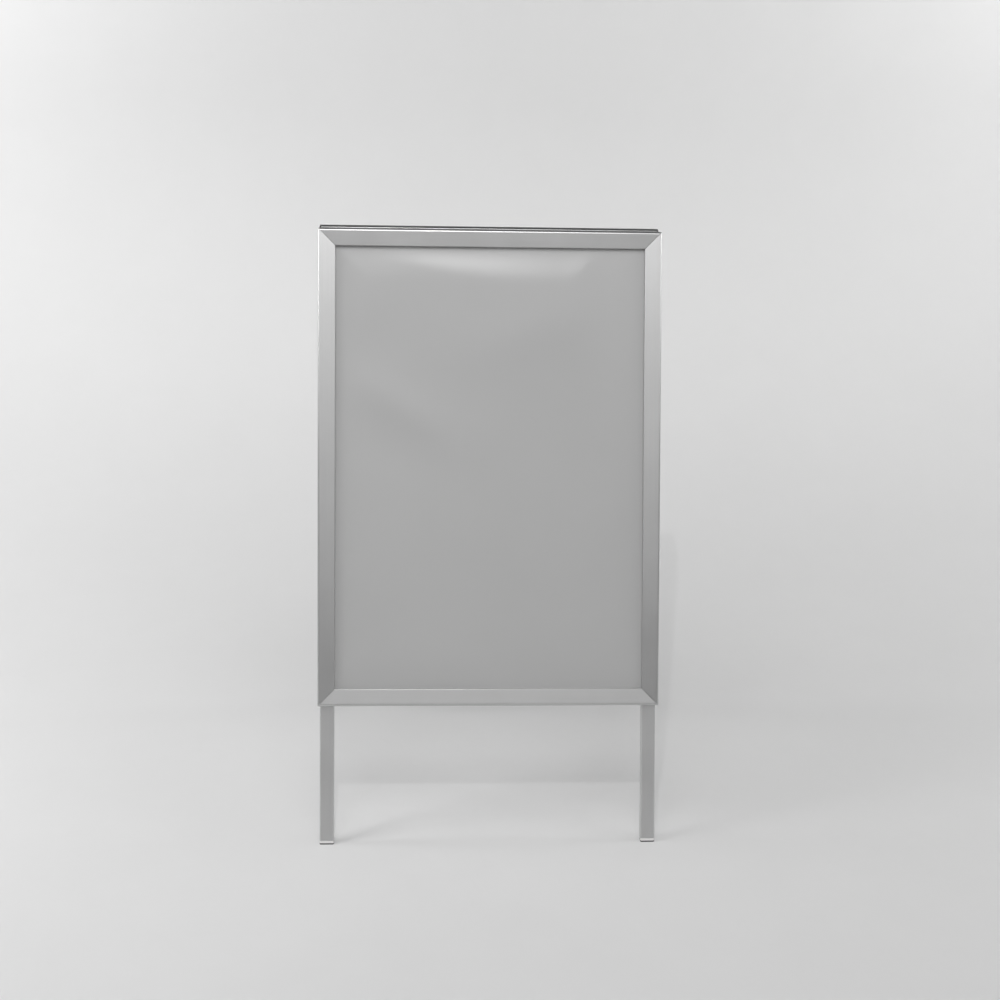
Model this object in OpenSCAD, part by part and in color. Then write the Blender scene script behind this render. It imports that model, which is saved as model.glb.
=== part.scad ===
// Folding A-frame sandwich board: two poster frames with snap-open rails on hinged legs.
// Standing open on its soles. +Z up, the front board faces -Y, origin on the floor at the centre.

/* [Poster frame] */

// Outer width of each frame
frame_w = 638; // [400:1:900]
// Outer height of each frame
frame_h = 885; // [500:1:1300]
// Face width of the snap profile
profile_w = 32; // [28:0.5:45]
// Depth of the snap profile from back to face
profile_d = 16; // [14:0.5:24]
// Outer rounding of the snap covers
edge_r = 4.5; // [2.5:0.1:6]
// Wall of the snap covers
cover_t = 1.4; // [1:0.1:2]
// Fall of the snap cover's face toward its inner edge
face_drop = 2.4; // [1:0.1:4]
// Rounding of the snap covers' inner edge
lip_r = 1.2; // [0.6:0.1:1.4]
// Radius of the rolled bead that a snap cover turns on
bead_r = 1.6; // [1.2:0.1:2.2]

/* [Panels] */

// Thickness of each back panel
panel_t = 1; // [0.8:0.1:3]
// Thickness of each clear cover sheet
sheet_t = 0.8; // [0.4:0.1:1.2]

/* [Stand] */

// Lean of each frame from upright
half_angle = 15.4; // [10:0.1:22]
// Width of each leg tube
leg_w = 26.6; // [20:0.1:30]
// Depth of each leg tube
leg_d = 15; // [12:0.1:22]
// Wall of each leg tube
leg_wall = 1.5; // [1:0.1:2.5]
// Corner rounding of each leg tube
leg_r = 2.5; // [1.8:0.1:4]
// Reach of the legs below the frame
leg_below = 262; // [100:1:450]
// Distance from the frame's side to the leg
leg_inset = 3.8; // [2:0.1:5]
// Thickness of each sole
sole_t = 2; // [1:0.1:4]
// Height of the foot cap's rim at its front
foot_rim = 5; // [3:0.1:10]

/* [Hinge] */

// Pin diameter of each top hinge
pin_d = 5; // [4:0.1:6]
// Radius of the hinge knuckles
knuckle_r = 5.5; // [4.5:0.1:7]
// Distance of the hinge axis below the frame's top edge
hinge_drop = 5.6; // [4.7:0.1:12]

/* [Side stays] */

// Distance of the stay pivots below the hinge axis
stay_drop = 560; // [300:1:750]
// Width of the stay bars
stay_w = 10; // [8:0.5:14]
// Thickness of the stay bars
stay_t = 2; // [1.5:0.1:3]
// Shank diameter of the stay rivets
rivet_d = 4; // [3:0.1:5]

/* [Hidden] */

$fn = 96;
eps = 0.01;
joint_clear = 0.05;
side_clear = 0.3;
washer_clear = 0.1;
mitre_clear = 0.15;
lip_clear = 0.2;
half_gap = 0.5;
leg_back = half_gap;
leg_front = half_gap + leg_d;
base_n = leg_front;
top_n = base_n + profile_d;
floor_t = 1.5;
wall_t = 1.4;
bead_rise = 3.9;
ledge_rise = 3.5;
rim_rise = 6.5;
skirt_clear = 0.15;
seat_clear = 0.1;
seat_wall = 1;
seat_w = 4;
edge_clear = 0.6;
key_clear = 0.8;
spring_clear = 0.5;
sheet_in = 2;
over = 1;
bead_n = base_n + bead_rise;
bead_d = bead_r + skirt_clear;
skirt_bevel = 0.8;
arc_n = top_n - edge_r;
arc_steps = 14;
floor_n = base_n + floor_t;
ledge_n = base_n + ledge_rise;
panel_n = ledge_n + panel_t;
sheet_n = panel_n + sheet_t;
lip_n = sheet_n + lip_clear;
rim_n = base_n + rim_rise;
base_d0 = 0.8;
base_d1 = profile_w - 2;
ledge_w = 3.5;
seat_d0 = bead_d + seat_clear;
seat_d1 = bead_d + seat_wall;
seat_d2 = bead_d + seat_w;
wall_d0 = profile_w / 2;
wall_d1 = wall_d0 + wall_t;
panel_d = wall_d1 + edge_clear;
sheet_d = panel_d + sheet_in;
face_tilt = atan(face_drop / (profile_w - edge_r));
lip_d = profile_w - lip_r;
bead_trim = bead_d + bead_r + mitre_clear;
trim_h = bead_r + joint_clear;
key_arm = 42;
key_t = 3;
key_d0 = seat_d2 + key_clear;
key_d1 = wall_d0 - edge_clear;
spring_t = 0.5;
spring_r = 4.5;
spring_len = 30;
spring_tail = 3;
spring_d = seat_d2 + spring_clear;
spring_top = face_n(spring_d + spring_r + spring_tail, edge_r - cover_t) - side_clear;
spring_edge = 0.3;
cap_depth = 32;
cap_clear = 0.1;
leg_x = frame_w / 2 - leg_inset - leg_w / 2;
leg_in = leg_x - leg_w / 2;
frame_zc = hinge_drop - frame_h / 2;
leg_top = 9;
head_top = 4.5;
head_n = 1;
tongue_w = 9;
front_s = frame_h - hinge_drop + leg_below;
tube_s = front_s - foot_rim - sole_t;
hinge_z = front_s * cos(half_angle) - leg_front * sin(half_angle);
pin_head_r = 4;
pin_head_t = 1.4;
screw_r = 1.7;
screw_head_r = 3.2;
screw_head_t = 1.6;
screw_bite = 4.5;
screw_d = (seat_d2 + wall_d0) / 2;
screw_at = [0.09, 0.34, 0.66, 0.91];
stay_n = leg_back + leg_d / 2;
stay_len = stay_n * cos(half_angle) + stay_drop * sin(half_angle);
stay_z = hinge_z + stay_n * sin(half_angle) - stay_drop * cos(half_angle);
stay_off = 2.2;
stay_step = 0.2;
stay_head_r = 3.6;
stay_head_t = 1.4;
stay_x1 = leg_in - stay_off - stay_t;
stay_x2 = stay_x1 - stay_step - stay_t;
big = frame_w + frame_h;

alu = [0.76, 0.77, 0.78];
alu_leg = [0.70, 0.71, 0.72];
steel = [0.55, 0.56, 0.57];
white = [0.93, 0.93, 0.92];
clear = [0.85, 0.88, 0.90];
plastic = [0.90, 0.90, 0.88];
grey = [0.35, 0.35, 0.36];
black = [0.08, 0.08, 0.08];

// Places: each board is drawn upright, hinge axis on X, its face toward -Y.
// The depth n of a point is its distance in front of the closed board's middle plane.

module front() { translate([0, 0, hinge_z]) rotate([-half_angle, 0, 0]) children(); }
module rear() { mirror([0, 1, 0]) front() children(); }
module on_edge(k) {
  translate([0, 0, frame_zc]) rotate([0, 90 * k, 0])
    translate([0, 0, (k % 2 == 0 ? frame_h : frame_w) / 2]) children();
}
function rail_len(k) = k % 2 == 0 ? frame_w : frame_h;

// A section drawn as [distance in from the outer edge, depth], run along X.
module run(len) {
  rotate([0, 0, 180]) rotate([0, 90, 0]) translate([0, 0, -len / 2]) linear_extrude(len) children();
}
module mitre(len, gap) {
  translate([0, -base_n + profile_d, 0]) rotate([90, 0, 0]) linear_extrude(3 * profile_d)
    polygon([
      [-len / 2 + gap * sqrt(2) - eps, eps], [len / 2 - gap * sqrt(2) + eps, eps],
      [len / 2 - gap * sqrt(2) - profile_w, -profile_w], [-len / 2 + gap * sqrt(2) + profile_w, -profile_w]
    ]);
}

// Fixed snap-frame rail: back flange, hinge seat, panel wall and ledge.
module base_section() {
  difference() {
    polygon([
      [base_d0, base_n], [base_d1, base_n], [base_d1, ledge_n], [base_d1 - ledge_w, ledge_n],
      [base_d1 - ledge_w, floor_n], [wall_d1, floor_n], [wall_d1, rim_n], [wall_d0, rim_n],
      [wall_d0, floor_n], [seat_d2, floor_n], [seat_d2, rim_n], [seat_d1, rim_n],
      [seat_d1, bead_n], [seat_d0, bead_n], [seat_d0, floor_n], [base_d0, floor_n]
    ]);
    translate([bead_d, bead_n]) circle(bead_r + joint_clear);
  }
}
module rail(k) {
  on_edge(k) difference() {
    intersection() {
      run(rail_len(k)) base_section();
      mitre(rail_len(k), 0);
    }
    if (k % 2 == 1)
      for (f = screw_at)
        translate([(f - 0.5) * frame_h, -base_n + over, -screw_d])
          rotate([90, 0, 0]) cylinder(r = screw_r + joint_clear, h = floor_t + 2 * over);
  }
}

// Snap cover: rounded outer edge, flat face falling inward, rounded inner edge and pressing lip.
// Depth at distance d of a line along the face, r outside the centre of the outer rounding.
function face_n(d, r) = arc_n + r / cos(face_tilt) - (d - edge_r) * tan(face_tilt);
function arc(c, r, a0, a1) =
  [for (i = [0:arc_steps]) let (a = a0 + (a1 - a0) * i / arc_steps) [c[0] + r * cos(a), c[1] + r * sin(a)]];
module cover_section() {
  polygon(concat(
    [[cover_t, bead_n]],
    arc([edge_r, arc_n], edge_r - cover_t, 180, 90 - face_tilt),
    [[profile_w - cover_t, face_n(profile_w - cover_t, edge_r - cover_t)],
     [profile_w - cover_t, lip_n], [profile_w, lip_n]],
    arc([lip_d, face_n(lip_d, edge_r - lip_r)], lip_r, 0, 90 - face_tilt),
    arc([edge_r, arc_n], edge_r, 90 - face_tilt, 180),
    [[0, bead_n + skirt_bevel], [skirt_bevel / 3, bead_n]]
  ));
  translate([bead_d, bead_n]) circle(bead_r);
}
module snap(k) {
  len = rail_len(k);
  on_edge(k) difference() {
    intersection() {
      run(len) cover_section();
      mitre(len, mitre_clear);
    }
    for (m = [-1, 1])
      translate([m * (len / 2) - bead_trim, -bead_n - trim_h, -bead_trim])
        cube([2 * bead_trim, bead_n, bead_trim + over]);
  }
}

// Corner key: an angle plate inside two joined rails.
module key_plate() {
  w = key_d1 - key_d0;
  translate([0, -floor_n, 0]) rotate([90, 0, 0]) linear_extrude(key_t) {
    translate([frame_w / 2 - key_d0 - key_arm, frame_h / 2 - key_d1]) square([key_arm, w]);
    translate([frame_w / 2 - key_d1, frame_h / 2 - key_d0 - key_arm]) square([w, key_arm]);
  }
}
module keys() {
  translate([0, 0, frame_zc]) for (i = [0, 1]) for (j = [0, 1])
    mirror([i, 0, 0]) mirror([0, 0, j]) key_plate();
}

// Snap spring: a bent strip standing on the rail's flange under the cover.
module spring_section() {
  translate([spring_d, floor_n]) square([spring_t, spring_top - spring_r - floor_n]);
  translate([spring_d, floor_n]) square([spring_t * 4, spring_t]);
  intersection() {
    difference() {
      translate([spring_d + spring_r, spring_top - spring_r]) circle(spring_r);
      translate([spring_d + spring_r, spring_top - spring_r]) circle(spring_r - spring_t);
    }
    translate([spring_d, spring_top - spring_r]) square([spring_r, spring_r]);
  }
  translate([spring_d + spring_r, spring_top - spring_t]) square([spring_tail, spring_t]);
}
module springs() {
  for (k = [0:3])
    for (f = (k % 2 == 0 ? [-spring_edge, spring_edge] : [-spring_edge, 0, spring_edge]))
      on_edge(k) translate([f * rail_len(k), 0, 0]) run(spring_len) spring_section();
}

// Flat panels held in the frame.
module plate(margin, n0, t) {
  w = frame_w - 2 * margin;
  h = frame_h - 2 * margin;
  translate([-w / 2, -n0 - t, frame_zc - h / 2]) cube([w, t, h]);
}

// Leg tube and the prisms that fit it; s runs down from the hinge axis.
module leg_outline(w, d, r) {
  translate([-w / 2 + r, -d / 2]) square([w - 2 * r, d]);
  translate([-w / 2, -d / 2 + r]) square([w, d - 2 * r]);
  for (i = [-1, 1]) for (j = [-1, 1])
    translate([i * (w / 2 - r), j * (d / 2 - r)]) circle(r);
}
module leg_prism(s0, s1, shrink) {
  translate([0, -leg_back - leg_d / 2, -s1]) linear_extrude(s1 - s0)
    leg_outline(leg_w - 2 * shrink, leg_d - 2 * shrink, max(leg_r - shrink, 0.8));
}
module leg(m) {
  difference() {
    translate([m * leg_x, 0, 0]) difference() {
      leg_prism(leg_top, tube_s, 0);
      leg_prism(leg_top - over, tube_s + over, leg_wall);
    }
    for (f = screw_at)
      translate([m * (frame_w / 2 - screw_d), -leg_front + leg_wall + over, frame_zc + (f - 0.5) * frame_h])
        rotate([90, 0, 0]) cylinder(r = screw_r + joint_clear, h = leg_wall + 2 * over);
    translate([m * (leg_in - 1), -stay_n, -stay_drop]) rotate([0, m * 90, 0])
      cylinder(d = rivet_d + 2 * joint_clear, h = leg_wall + 2 * over);
  }
}
module leg_screws() {
  for (m = [-1, 1]) for (f = screw_at)
    translate([m * (frame_w / 2 - screw_d), -floor_n, frame_zc + (f - 0.5) * frame_h]) {
      rotate([90, 0, 0]) cylinder(r = screw_head_r, h = screw_head_t);
      translate([0, screw_bite, 0]) rotate([90, 0, 0]) cylinder(r = screw_r, h = screw_bite);
    }
}

// The slab between two floor heights, as seen from an upright board.
module floor_slab(z0, z1) {
  rotate([half_angle, 0, 0]) translate([-big / 2, -big / 2, z0 - hinge_z]) cube([big, big, z1 - z0]);
}
module foot(m) {
  translate([m * leg_x, 0, 0]) {
    intersection() {
      leg_prism(tube_s, front_s + leg_d, 0);
      floor_slab(sole_t, foot_rim + leg_d);
    }
    leg_prism(tube_s - cap_depth, tube_s, leg_wall + cap_clear);
  }
}
module sole(m) {
  intersection() {
    translate([m * leg_x, 0, 0]) leg_prism(tube_s, front_s + leg_d, 0);
    floor_slab(0, sole_t);
  }
}

// Hinge caps in the leg tops: the front has a tongue, the rear a fork.
module knuckle(x0, w) {
  translate([x0, 0, 0]) rotate([0, 90, 0]) cylinder(r = knuckle_r, h = w);
  translate([x0, -knuckle_r - over, -head_top]) cube([w, knuckle_r + over, 2 * head_top]);
}
module knuckle_room(x0, w) {
  translate([x0, 0, 0]) rotate([0, 90, 0]) cylinder(r = knuckle_r + side_clear, h = w);
}
module cap_body() {
  translate([-leg_w / 2, -leg_front, -leg_top]) cube([leg_w, leg_front - head_n, leg_top + head_top]);
  leg_prism(leg_top, leg_top + cap_depth, leg_wall + cap_clear);
}
module hinge_cap(m, tongue) {
  cheek_x = tongue_w / 2 + side_clear;
  cheek_w = leg_w / 2 - cheek_x;
  translate([m * leg_x, 0, 0]) difference() {
    union() {
      difference() {
        cap_body();
        if (tongue)
          for (i = [0, 1]) mirror([i, 0, 0]) knuckle_room(tongue_w / 2, leg_w / 2);
        else
          knuckle_room(-cheek_x, 2 * cheek_x);
      }
      if (tongue)
        knuckle(-tongue_w / 2, tongue_w);
      else
        for (i = [0, 1]) mirror([i, 0, 0]) knuckle(cheek_x, cheek_w);
    }
    translate([-leg_w, 0, 0]) rotate([0, 90, 0]) cylinder(d = pin_d + 2 * joint_clear, h = 2 * leg_w);
  }
}
module hinge_pin(m) {
  translate([m * leg_x, 0, hinge_z]) {
    translate([-leg_w / 2, 0, 0]) rotate([0, 90, 0]) cylinder(d = pin_d, h = leg_w);
    for (i = [0, 1]) mirror([i, 0, 0])
      translate([leg_w / 2, 0, 0]) rotate([0, 90, 0]) cylinder(r = pin_head_r, h = pin_head_t);
  }
}

// Side stays: two flat bars on each side, joined at the middle, in line when the board is open.
module along_x(m, x0, x1, r) {
  translate([m * x0, 0, 0]) rotate([0, m * 90, 0]) cylinder(r = r, h = x1 - x0);
}
module stay_bar(m, x0, y0, y1) {
  r = stay_w / 2;
  translate([m * x0, 0, stay_z]) rotate([0, m * 90, 0]) linear_extrude(stay_t) difference() {
    union() {
      translate([-r, y0]) square([stay_w, y1 - y0]);
      translate([0, y0]) circle(r);
      translate([0, y1]) circle(r);
    }
    translate([0, y0]) circle(d = rivet_d + 2 * joint_clear);
    translate([0, y1]) circle(d = rivet_d + 2 * joint_clear);
  }
}
module stay_pivot(m, bar_x) {
  translate([0, -stay_len, stay_z]) {
    along_x(m, leg_in + leg_wall, leg_in + leg_wall + 1, stay_head_r);
    along_x(m, bar_x - washer_clear, leg_in + leg_wall, rivet_d / 2);
    along_x(m, bar_x + stay_t + washer_clear, leg_in, stay_head_r);
    along_x(m, bar_x - washer_clear - stay_head_t, bar_x - washer_clear, stay_head_r);
  }
}
module stay_rivet(m) {
  translate([0, 0, stay_z]) {
    along_x(m, stay_x1 + stay_t, stay_x1 + stay_t + stay_head_t, stay_head_r);
    along_x(m, stay_x2 - washer_clear, stay_x1 + stay_t, rivet_d / 2);
    along_x(m, stay_x2 - washer_clear - stay_head_t, stay_x2 - washer_clear, stay_head_r);
  }
}

// One module for each piece.
module front_rail_top() color(alu) front() rail(0);
module front_rail_right() color(alu) front() rail(1);
module front_rail_bottom() color(alu) front() rail(2);
module front_rail_left() color(alu) front() rail(3);
module front_snap_top() color(alu) front() snap(0);
module front_snap_right() color(alu) front() snap(1);
module front_snap_bottom() color(alu) front() snap(2);
module front_snap_left() color(alu) front() snap(3);
module front_corner_keys() color(grey) front() keys();
module front_springs() color(steel) front() springs();
module front_panel() color(white) front() plate(panel_d, ledge_n, panel_t);
module front_sheet() color(clear) front() plate(sheet_d, panel_n, sheet_t);
module front_leg_left() color(alu_leg) front() leg(-1);
module front_leg_right() color(alu_leg) front() leg(1);
module front_leg_screws() color(steel) front() leg_screws();
module front_foot_left() color(plastic) front() foot(-1);
module front_foot_right() color(plastic) front() foot(1);
module front_sole_left() color(black) front() sole(-1);
module front_sole_right() color(black) front() sole(1);
module front_hinge_cap_left() color(grey) front() hinge_cap(-1, true);
module front_hinge_cap_right() color(grey) front() hinge_cap(1, true);
module rear_rail_top() color(alu) rear() rail(0);
module rear_rail_right() color(alu) rear() rail(1);
module rear_rail_bottom() color(alu) rear() rail(2);
module rear_rail_left() color(alu) rear() rail(3);
module rear_snap_top() color(alu) rear() snap(0);
module rear_snap_right() color(alu) rear() snap(1);
module rear_snap_bottom() color(alu) rear() snap(2);
module rear_snap_left() color(alu) rear() snap(3);
module rear_corner_keys() color(grey) rear() keys();
module rear_springs() color(steel) rear() springs();
module rear_panel() color(white) rear() plate(panel_d, ledge_n, panel_t);
module rear_sheet() color(clear) rear() plate(sheet_d, panel_n, sheet_t);
module rear_leg_left() color(alu_leg) rear() leg(-1);
module rear_leg_right() color(alu_leg) rear() leg(1);
module rear_leg_screws() color(steel) rear() leg_screws();
module rear_foot_left() color(plastic) rear() foot(-1);
module rear_foot_right() color(plastic) rear() foot(1);
module rear_sole_left() color(black) rear() sole(-1);
module rear_sole_right() color(black) rear() sole(1);
module rear_hinge_cap_left() color(grey) rear() hinge_cap(-1, false);
module rear_hinge_cap_right() color(grey) rear() hinge_cap(1, false);
module hinge_pin_left() color(steel) hinge_pin(-1);
module hinge_pin_right() color(steel) hinge_pin(1);
module front_stay_left() color(steel) stay_bar(-1, stay_x1, -stay_len, 0);
module front_stay_right() color(steel) stay_bar(1, stay_x1, -stay_len, 0);
module rear_stay_left() color(steel) stay_bar(-1, stay_x2, 0, stay_len);
module rear_stay_right() color(steel) stay_bar(1, stay_x2, 0, stay_len);
module front_stay_pivot_left() color(steel) stay_pivot(-1, stay_x1);
module front_stay_pivot_right() color(steel) stay_pivot(1, stay_x1);
module rear_stay_pivot_left() color(steel) mirror([0, 1, 0]) stay_pivot(-1, stay_x2);
module rear_stay_pivot_right() color(steel) mirror([0, 1, 0]) stay_pivot(1, stay_x2);
module stay_rivet_left() color(steel) stay_rivet(-1);
module stay_rivet_right() color(steel) stay_rivet(1);

front_rail_top();
front_rail_right();
front_rail_bottom();
front_rail_left();
front_snap_top();
front_snap_right();
front_snap_bottom();
front_snap_left();
front_corner_keys();
front_springs();
front_panel();
front_sheet();
front_leg_left();
front_leg_right();
front_leg_screws();
front_foot_left();
front_foot_right();
front_sole_left();
front_sole_right();
front_hinge_cap_left();
front_hinge_cap_right();
rear_rail_top();
rear_rail_right();
rear_rail_bottom();
rear_rail_left();
rear_snap_top();
rear_snap_right();
rear_snap_bottom();
rear_snap_left();
rear_corner_keys();
rear_springs();
rear_panel();
rear_sheet();
rear_leg_left();
rear_leg_right();
rear_leg_screws();
rear_foot_left();
rear_foot_right();
rear_sole_left();
rear_sole_right();
rear_hinge_cap_left();
rear_hinge_cap_right();
hinge_pin_left();
hinge_pin_right();
front_stay_left();
front_stay_right();
rear_stay_left();
rear_stay_right();
front_stay_pivot_left();
front_stay_pivot_right();
rear_stay_pivot_left();
rear_stay_pivot_right();
stay_rivet_left();
stay_rivet_right();
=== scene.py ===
"""Looks of a folding sandwich board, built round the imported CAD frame.

Lengths in the code are millimetres until a mesh is written, when they become metres.
A board is drawn upright, hinge axis on X: n is the distance in front of the closed pair's
middle plane and s the distance down from the hinge axis.
"""

import math

import bmesh
import bpy
import numpy as np
from mathutils import Matrix, Vector


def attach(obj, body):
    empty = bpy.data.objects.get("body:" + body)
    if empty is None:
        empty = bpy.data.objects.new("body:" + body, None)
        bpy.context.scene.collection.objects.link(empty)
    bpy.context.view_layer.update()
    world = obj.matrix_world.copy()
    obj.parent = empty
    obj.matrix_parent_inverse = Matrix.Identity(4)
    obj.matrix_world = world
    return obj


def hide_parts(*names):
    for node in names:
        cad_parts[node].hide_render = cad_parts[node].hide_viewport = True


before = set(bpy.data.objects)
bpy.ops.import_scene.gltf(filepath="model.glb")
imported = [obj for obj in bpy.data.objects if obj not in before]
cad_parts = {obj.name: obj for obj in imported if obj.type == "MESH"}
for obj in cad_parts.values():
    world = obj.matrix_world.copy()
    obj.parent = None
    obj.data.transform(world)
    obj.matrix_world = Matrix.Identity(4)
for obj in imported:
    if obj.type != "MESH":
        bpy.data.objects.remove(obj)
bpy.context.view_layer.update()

bl_info = {
    "name": "Sandwich board",
    "version": (1, 0, 0),
    "blender": (4, 5, 0),
    "location": "3D View > Sidebar > Board",
    "description": "Builds the visible pieces of a folding sandwich board",
    "category": "Object",
}

MM = 0.001

# Sizes that the CAD source gives.
FRAME_W, FRAME_H = 638.0, 885.0
PROFILE_W, PROFILE_D = 32.0, 16.0
EDGE_R, COVER_T, FACE_DROP, LIP_R = 4.5, 1.4, 2.4, 1.2
BEAD_R, BEAD_CLEAR, BEAD_RISE = 1.6, 0.15, 3.9
PANEL_RISE, SHEET_T, LIP_CLEAR = 4.5, 0.8, 0.2
SHEET_D, SHEET_CLEAR = 20.0, 0.02
LEAN = math.radians(15.4)
LEG_W, LEG_D, LEG_WALL, LEG_R = 26.6, 15.0, 1.5, 2.5
LEG_INSET, LEG_BELOW = 3.8, 262.0
SOLE_T, FOOT_RIM, PLUG_LONG = 2.0, 5.0, 32.0
HINGE_DROP, HALF_GAP = 5.6, 0.5
STAY_DROP, STAY_OFF, STAY_STEP = 560.0, 2.2, 0.2
BAR_T, BAR_CLEAR = 2.0, 0.1
RIVET_R, SHANK_R = 3.6, 2.0
PIN_HEAD_R, PIN_R = 4.0, 2.5
SEAT_W, FLANGE_T = 4.0, 1.5
SCREW_AT = (0.09, 0.34, 0.66, 0.91)

# Places that follow from them.
BEAD_D = BEAD_R + BEAD_CLEAR
LEG_BACK = HALF_GAP
LEG_FRONT = HALF_GAP + LEG_D
BASE_N = LEG_FRONT
TOP_N = BASE_N + PROFILE_D
BEAD_N = BASE_N + BEAD_RISE
PANEL_N = BASE_N + PANEL_RISE
SHEET_N = PANEL_N + SHEET_T
LIP_N = SHEET_N + LIP_CLEAR
ARC_N = TOP_N - EDGE_R
FACE_TILT = math.atan(FACE_DROP / (PROFILE_W - EDGE_R))
FRAME_ZC = HINGE_DROP - FRAME_H / 2
LEG_X = FRAME_W / 2 - LEG_INSET - LEG_W / 2
LEG_IN = LEG_X - LEG_W / 2
LEG_TOP = 9.0
FRONT_S = FRAME_H - HINGE_DROP + LEG_BELOW
TUBE_S = FRONT_S - FOOT_RIM - SOLE_T
HINGE_Z = FRONT_S * math.cos(LEAN) - LEG_FRONT * math.sin(LEAN)
STAY_N = LEG_BACK + LEG_D / 2
STAY_LEN = STAY_N * math.cos(LEAN) + STAY_DROP * math.sin(LEAN)
STAY_Z = HINGE_Z + STAY_N * math.sin(LEAN) - STAY_DROP * math.cos(LEAN)
STAY_X1 = LEG_IN - STAY_OFF - BAR_T
STAY_X2 = STAY_X1 - STAY_STEP - BAR_T
SCREW_D = (BEAD_D + SEAT_W + PROFILE_W / 2) / 2

# How the surfaces are drawn.
SHARP = math.radians(32)
LEAD = 0.15
POLE_R = 0.05
LEAST_R = 0.8

EDGES = ("top", "right", "bottom", "left")
SIDES = ("front", "rear")
HANDS = (("left", -1), ("right", 1))


# ---------------------------------------------------------------- places

def pose(points, side):
    """Points of an upright board, x, y = -n and z = -s, turned about X by the lean and raised to the
    hinge. The rear board is the same with y turned over."""
    x, y, z = np.moveaxis(np.asarray(points, float), -1, 0)
    c, s = math.cos(LEAN), math.sin(LEAN)
    py, pz = y * c + z * s, z * c - y * s + HINGE_Z
    if side == "rear":
        py = -py
    return np.stack([x, py, pz], -1)


def on_edge(points, k):
    """Points of a rail, x along it and z up to its outer edge at 0, moved to edge k of the frame:
    each step turns (x, z) to (z, -x)."""
    x, y, z = np.moveaxis(np.asarray(points, float), -1, 0)
    z = z + (FRAME_H if k % 2 == 0 else FRAME_W) / 2
    for _ in range(k):
        x, z = z, -x
    return np.stack([x, y, z + FRAME_ZC], -1)


# ---------------------------------------------------------------- meshes

def build(name, points, close_u=False, close_v=True, caps=True, flow=None):
    """A mesh from a grid of points, rows u by columns v: quads join neighbours, a closed direction
    wraps round, and caps fill the first and last rows. flow is kept as a point attribute in metres.
    Faces shade smooth, with a hard edge wherever two of them meet at more than SHARP."""
    pts = np.asarray(points, float)
    rows, cols = pts.shape[:2]
    index = np.arange(rows * cols).reshape(rows, cols)
    if close_u:
        index = np.vstack([index, index[:1]])
    if close_v:
        index = np.hstack([index, index[:, :1]])
    quads = np.stack([index[:-1, :-1], index[:-1, 1:], index[1:, 1:], index[1:, :-1]], -1)
    faces = quads.reshape(-1, 4).tolist()
    if caps and not close_u:
        faces.append(list(range(cols))[::-1])
        faces.append(list(range((rows - 1) * cols, rows * cols)))
    mesh = bpy.data.meshes.new(name)
    mesh.from_pydata((pts.reshape(-1, 3) * MM).tolist(), [], faces)
    if flow is not None:
        along = (np.asarray(flow, float).reshape(-1) * MM).astype(np.float32)
        mesh.attributes.new("flow", "FLOAT_VECTOR", "POINT").data.foreach_set("vector", along)
    work = bmesh.new()
    work.from_mesh(mesh)
    bmesh.ops.recalc_face_normals(work, faces=work.faces)
    for f in work.faces:
        f.smooth = True
    for e in work.edges:
        e.smooth = len(e.link_faces) == 2 and e.calc_face_angle(math.pi) < SHARP
    work.to_mesh(mesh)
    work.free()
    mesh.validate()
    mesh.update()
    piece = bpy.data.objects.new(name, mesh)
    bpy.context.scene.collection.objects.link(piece)
    return piece


def join(name, parts):
    """One object from several, their meshes put together in order."""
    meshes = [p.data for p in parts]
    work = bmesh.new()
    for m in meshes:
        work.from_mesh(m)
    mesh = bpy.data.meshes.new(name)
    work.to_mesh(mesh)
    work.free()
    for p in parts:
        bpy.data.objects.remove(p)
    for m in meshes:
        bpy.data.meshes.remove(m)
    piece = bpy.data.objects.new(name, mesh)
    bpy.context.scene.collection.objects.link(piece)
    return piece


def finish_piece(piece, body, material, slot, *nodes):
    """Gives a piece its material and its CAD body, and hides the CAD nodes that it stands for."""
    piece.data.materials.append(material)
    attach(piece, body)
    if nodes:
        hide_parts(*nodes)


def fillet(corners, steps=5):
    """A closed outline from corners (x, y, radius): each corner becomes a circular arc tangent to
    both sides, from the point radius / tan(half the corner angle) before it to the same after it, with
    a point LEAD beside each end so that the flats shade flat. A large arc has three times the steps."""
    out = []
    large = 2.0
    pts = [np.array(c[:2], float) for c in corners]
    for i, (_, _, r) in enumerate(corners):
        p, a, b = pts[i], pts[i - 1], pts[(i + 1) % len(pts)]
        if r <= 0:
            out.append(p)
            continue
        u, v = (a - p) / np.linalg.norm(a - p), (b - p) / np.linalg.norm(b - p)
        half = math.acos(float(np.clip(u @ v, -1, 1))) / 2
        reach = r / math.tan(half)
        centre = p + (u + v) / np.linalg.norm(u + v) * (r / math.sin(half))
        start, end = p + u * reach - centre, p + v * reach - centre
        a0 = math.atan2(start[1], start[0])
        turn = (math.atan2(end[1], end[0]) - a0 + math.pi) % (2 * math.pi) - math.pi
        count = steps if r < large else steps * 3
        if np.linalg.norm(a - p) > reach + 3 * LEAD:
            out.append(p + u * (reach + LEAD))
        for t in np.linspace(0, 1, count + 1):
            out.append(centre + r * np.array([math.cos(a0 + turn * t), math.sin(a0 + turn * t)]))
        if np.linalg.norm(b - p) > reach + 3 * LEAD:
            out.append(p + v * (reach + LEAD))
    return np.array(out)


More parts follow.
